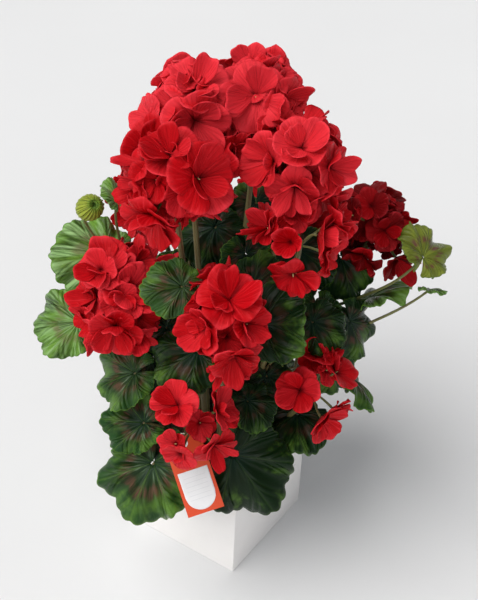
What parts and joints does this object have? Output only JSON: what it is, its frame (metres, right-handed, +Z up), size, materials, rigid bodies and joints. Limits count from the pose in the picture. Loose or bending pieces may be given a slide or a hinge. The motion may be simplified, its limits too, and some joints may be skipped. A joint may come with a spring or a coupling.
{
  "type": "potted red geranium in a cube planter",
  "caption": "Bushy red zonal geranium with round lobed leaves and full flower heads, standing in a smooth white cube planter, with a hang tag.",
  "frame": {"origin": "on the ground, below the middle of the planter's square base", "axes": "+Z up; +X and +Y square to the planter's sides; the bush's front, with the hang tag, is at 32.6 degrees from -Y towards +X, over one upright corner of the planter"},
  "size_m": [0.351, 0.3509, 0.548],
  "materials": {
    "planter": "smooth satin white",
    "filler": "dark rough bark and peat",
    "leaf": "dark green printed leaf with a brown-red zone and a pale green margin, low sheen",
    "petal": "soft red petal, fine veins, low sheen",
    "tag": "matte orange card with a bare pale panel",
    "string": "thin cream thread"
  },
  "bodies": {
    "root": {"planter_box": "planter", "potting_filler": "filler", "leafy_stem_crown_front": "leaf", "leafy_stem_crown_left": "leaf", "leafy_stem_crown_top": "leaf", "leafy_stem_crown_right": "leaf", "leafy_stem_left": "leaf", "leafy_stem_front": "leaf", "leafy_stem_right": "leaf", "leafy_stem_far_right": "leaf", "leafy_stem_low_left": "leaf", "leafy_stem_low_right": "leaf", "leafy_stem_back_left": "leaf", "leafy_stem_back_right": "leaf", "leafy_stem_tall_left": "leaf", "leafy_stem_low_front": "leaf", "leafy_stem_tall_right": "leaf", "flower_head_crown_front": "petal", "flower_head_crown_left": "petal", "flower_head_crown_top": "petal", "flower_head_crown_right": "petal", "flower_head_left": "petal", "flower_head_front": "petal", "flower_head_right": "petal", "flower_head_far_right": "petal", "flower_head_low_left": "petal", "flower_head_low_right": "petal", "flower_head_back_left": "petal", "flower_head_back_right": "petal", "hang_tag": "tag", "tag_string": "string"}
  },
  "joints": []
}
